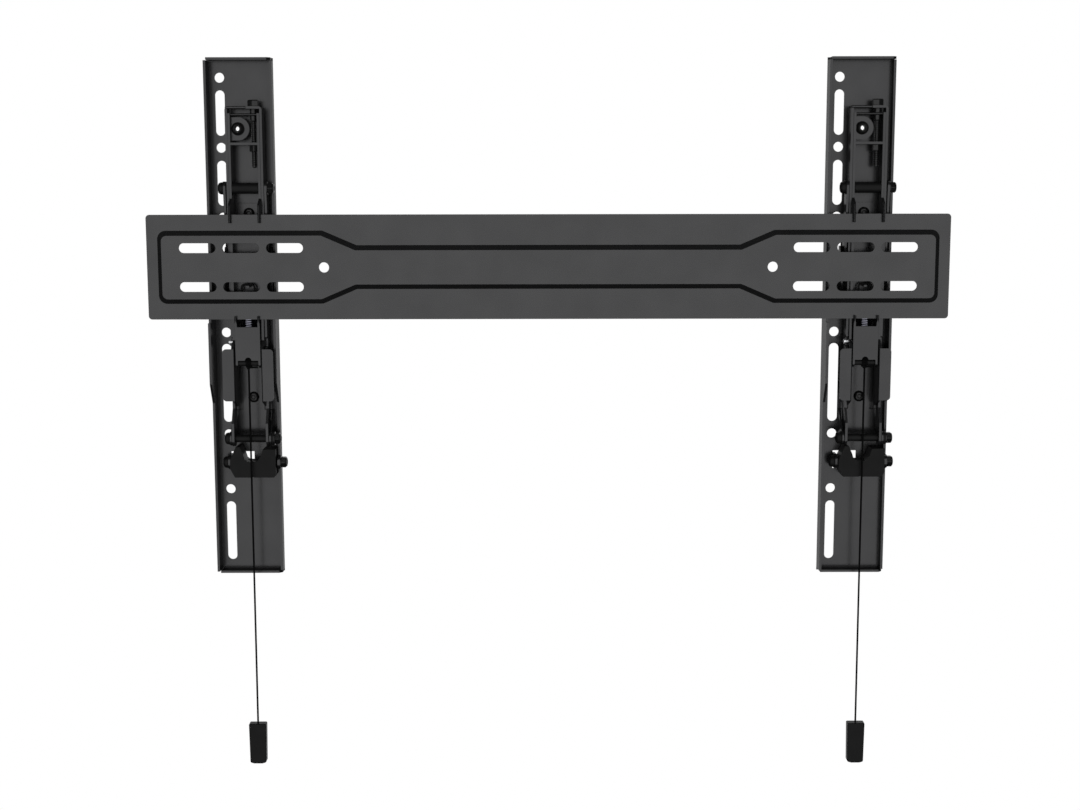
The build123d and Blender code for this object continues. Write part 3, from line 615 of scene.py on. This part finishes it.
SPRING_Y = 12.3
COIL_LOW = -54.0
HOOK_WIRE = 0.85
coil = wound(
    "spring_coil", section=0.9, sides=12, radius=4.5, pitch=1.84, turns=18, low=COIL_LOW, steps=28
)
smooth(coil, 60.0)
coat(coil, coil_wire)
hooks = []
for level, half, rise, bend, foot, side in (
    ("high", 5.3, 6.2, 2.5, -20.9, 1),
    ("low", 4.5, 4.3, 3.2, COIL_LOW, -1),
):
    hook = arched_wire(f"spring_{level}_hook", HOOK_WIRE, half, rise, bend, foot, side)
    smooth(hook, 60.0)
    # Painted shade: the hooks are the same wire as the coil but take the dark bolt finish, so
    # these ends read dark where the coil's metal would catch light.
    coat(hook, bolt_black)
    hooks.append(hook)
spring = join("spring_master", coil, *hooks)
put(spring, (0, SPRING_Y, 0))
for arm, arm_x in ARMS.items():
    piece = duplicate(spring, f"{arm}_latch_spring_wound")
    put(piece, (arm_x / MM, 0, 0))
    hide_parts(f"{arm}_latch_spring")
    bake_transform(piece)
bpy.data.objects.remove(spring)

# Knots: the cord's turns round the latch bar and its short tail

CORD_Y = 5.2
CORD_TOP = -82.05
CORD_BELOW_KNOT = -91.65
CORD_ABOVE_HANDLE = -379.9
CORD_LOW = -389.5
CORD_D = 1.6
BAR_Y = 6.7
BAR_Z = -79.7


def cord_ring(name, ring_r, cord_r, place, turn, size):
    """One turn of cord: a ring that is leant and flattened to its place in the knot."""
    bpy.ops.object.select_all(action="DESELECT")
    bpy.ops.mesh.primitive_torus_add(
        major_radius=ring_r * MM,
        minor_radius=cord_r * MM,
        major_segments=28,
        minor_segments=10,
        location=(0, 0, 0),
    )
    ring = named(name)
    put(ring, place, turn, size)
    return ring


LOOP_R = 3.15
LOOP_LEANS = ((-1.6, 3.0), (0.0, -2.0), (1.6, -4.0))
TAIL_RINGS = ((0.0, 0.8), (2.4, 0.85), (5.0, 0.8), (6.8, 0.85), (7.2, 0.6))
TAIL_START = (0.4, CORD_Y, -83.0)
turns = [
    cord_ring(f"loop_{k}", LOOP_R, CORD_D / 2, (x, BAR_Y, BAR_Z), (0, 90, lean), (1, 1, 1))
    for k, (x, lean) in enumerate(LOOP_LEANS)
]
turns.append(cord_ring("knot_high", 0.95, 0.7, (0, CORD_Y, -82.9), (12, 8, 0), (1.1, 0.95, 1)))
turns.append(cord_ring("knot_low", 0.85, 0.7, (0, CORD_Y, -83.7), (-14, -10, 40), (1, 1.1, 1)))
tail = turned("knot_tail", TAIL_RINGS, 12)
put(tail, TAIL_START, (0, 89, 4))
knot = join("knot_master", *turns, tail)
smooth(knot, 60.0)
coat(knot, cord_braid)
fit_on_arms(knot, "cord_knot", rides="latch_body")

# Pull handles: tapered moulded bars, crisp in front and rounded behind, with a bowed foot

HANDLE_TOP = -389.0
HANDLE_LOW = -423.0
HANDLE_HALF = 7.4
HANDLE_THICK = 8.0
HANDLE_TAPER = 6.9 / 7.4
HANDLE_BELLY = 1.0
BELLY_SHARE = 0.5
HANDLE_BACK_EASE = 2.2
HANDLE_EASE = 0.3
handle_front = CORD_Y - HANDLE_THICK / 2
handle_back = CORD_Y + HANDLE_THICK / 2
handle_low = (-HANDLE_HALF, handle_front, HANDLE_LOW)
handle_high = (HANDLE_HALF, handle_back, HANDLE_TOP)
handle_foot = (0, CORD_Y * MM, HANDLE_LOW * MM)
handle = block("handle_master", handle_low, handle_high)
start_edit(handle)
bpy.ops.mesh.select_mode(type="FACE")
bpy.ops.mesh.select_all(action="DESELECT")
bpy.ops.object.mode_set(mode="OBJECT")
for face in handle.data.polygons:
    face.select = face.normal.z < -0.5
bpy.ops.object.mode_set(mode="EDIT")
bpy.ops.transform.resize(value=(HANDLE_TAPER, 1, 1), center_override=handle_foot)
bpy.ops.mesh.extrude_region_move(TRANSFORM_OT_translate={"value": (0, 0, -HANDLE_BELLY * MM)})
bpy.ops.transform.resize(value=(BELLY_SHARE, 1, 1), center_override=handle_foot)
bpy.ops.mesh.select_mode(type="VERT")
end_edit()
back_low = (-HANDLE_HALF - NEAR, handle_back - NEAR, HANDLE_LOW - 2 * HANDLE_BELLY)
back_high = (HANDLE_HALF + NEAR, handle_back + NEAR, HANDLE_TOP + NEAR)
round_rim(handle, HANDLE_BACK_EASE, back_low, back_high)
round_edges(handle, HANDLE_EASE)
coat(handle, guide_plastic)
fit_on_arms(handle, "pull_handle_moulded", "pull_handle")

# Cord lines: one smooth hanging run each

for arm, arm_x in ARMS.items():
    line = bpy.data.curves.new(f"{arm}_cord_line", "CURVE")
    line.dimensions = "3D"
    line.bevel_depth = CORD_D * MM / 2
    line.bevel_resolution = 4
    line.use_fill_caps = True
    run = line.splines.new("NURBS")
    heights = (CORD_TOP, CORD_BELOW_KNOT, CORD_ABOVE_HANDLE, CORD_LOW)
    run.points.add(len(heights) - 1)
    for point, height in zip(run.points, heights):
        point.co = (arm_x, CORD_Y * MM, height * MM, 1)
    run.order_u = 3
    run.use_endpoint_u = True
    run.resolution_u = 4
    cord = bpy.data.objects.new(f"{arm}_cord_braided", line)
    bpy.context.scene.collection.objects.link(cord)
    line.materials.append(cord_braid)
    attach(cord, f"{arm}_latch_body")
    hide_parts(f"{arm}_pull_cord")

# Studio: camera, lights, pale floor

PHOTO_WIDTH = 1080.0
FOCAL_PIXELS = 1650.0
SENSOR = 36.0
CAMERA_PLACE = (-6.74, -1354.97, 77.59)
CAMERA_DIP = 8.053
CAMERA_LEAN = 0.0016
lens = bpy.data.cameras.new("studio_camera")
lens.sensor_width = SENSOR
lens.lens = SENSOR * FOCAL_PIXELS / PHOTO_WIDTH
lens.clip_start = 0.05
camera = bpy.data.objects.new("studio_camera", lens)
camera.location = [c * MM for c in CAMERA_PLACE]
camera.rotation_euler = (math.radians(90.0 - CAMERA_DIP), CAMERA_LEAN, 0.0)
bpy.context.scene.collection.objects.link(camera)
bpy.context.scene.camera = camera


def soft_panel(name, place, aim, width, height, power):
    """A rectangular soft light at a place, turned to face an aim point and not seen itself."""
    light = bpy.data.lights.new(name, "AREA")
    light.shape = "RECTANGLE"
    light.size = width
    light.size_y = height
    light.energy = power
    panel = bpy.data.objects.new(name, light)
    panel.location = place
    way = [a - p for a, p in zip(aim, place)]
    flat = math.hypot(way[0], way[1])
    panel.rotation_euler = (math.atan2(flat, -way[2]), 0, math.atan2(-way[0], way[1]))
    panel.visible_camera = False
    bpy.context.scene.collection.objects.link(panel)


soft_panel("front_panel", (0, -1.75, -0.15), (0, 0, -0.15), 5.6, 3.6, 78.0)
soft_panel("back_panel", (0, 1.5, 0.0), (0, 0, 0.0), 4.0, 3.0, 30.0)
soft_panel("top_back_panel", (0.6, 1.6, 2.2), (0, 0, 0), 1.6, 1.6, 16.0)

AIR_FILL = 0.03
FLOOR_SIZE = 12
FLOOR_Z = -0.9
world = bpy.data.worlds.new("studio_air")
bpy.context.scene.world = world
world.use_nodes = True
air = world.node_tree
air.nodes.clear()
air_out = air.nodes.new("ShaderNodeOutputWorld")
seen = air.nodes.new("ShaderNodeBackground")
seen.inputs["Color"].default_value = (1, 1, 1, 1)
seen.inputs["Strength"].default_value = 1.0
felt = air.nodes.new("ShaderNodeBackground")
felt.inputs["Color"].default_value = (0.9, 0.95, 1, 1)
felt.inputs["Strength"].default_value = AIR_FILL
rays = air.nodes.new("ShaderNodeLightPath")
choose = air.nodes.new("ShaderNodeMixShader")
air.links.new(rays.outputs["Is Camera Ray"], choose.inputs["Fac"])
air.links.new(felt.outputs["Background"], choose.inputs[1])
air.links.new(seen.outputs["Background"], choose.inputs[2])
air.links.new(choose.outputs["Shader"], air_out.inputs["Surface"])
bpy.context.scene.view_settings.view_transform = "Standard"

bpy.ops.object.select_all(action="DESELECT")
bpy.ops.mesh.primitive_plane_add(size=FLOOR_SIZE, location=(0, 0, FLOOR_Z))
floor = named("pale_floor")
pale = bpy.data.materials.new("pale_floor")
pale.use_nodes = True
pale.node_tree.nodes.clear()
pale_out = pale.node_tree.nodes.new("ShaderNodeOutputMaterial")
glow = pale.node_tree.nodes.new("ShaderNodeEmission")
glow.inputs["Color"].default_value = (1, 1, 1, 1)
glow.inputs["Strength"].default_value = 1.0
pale.node_tree.links.new(glow.outputs["Emission"], pale_out.inputs["Surface"])
floor.data.materials.append(pale)
floor.visible_diffuse = False
floor.visible_glossy = False
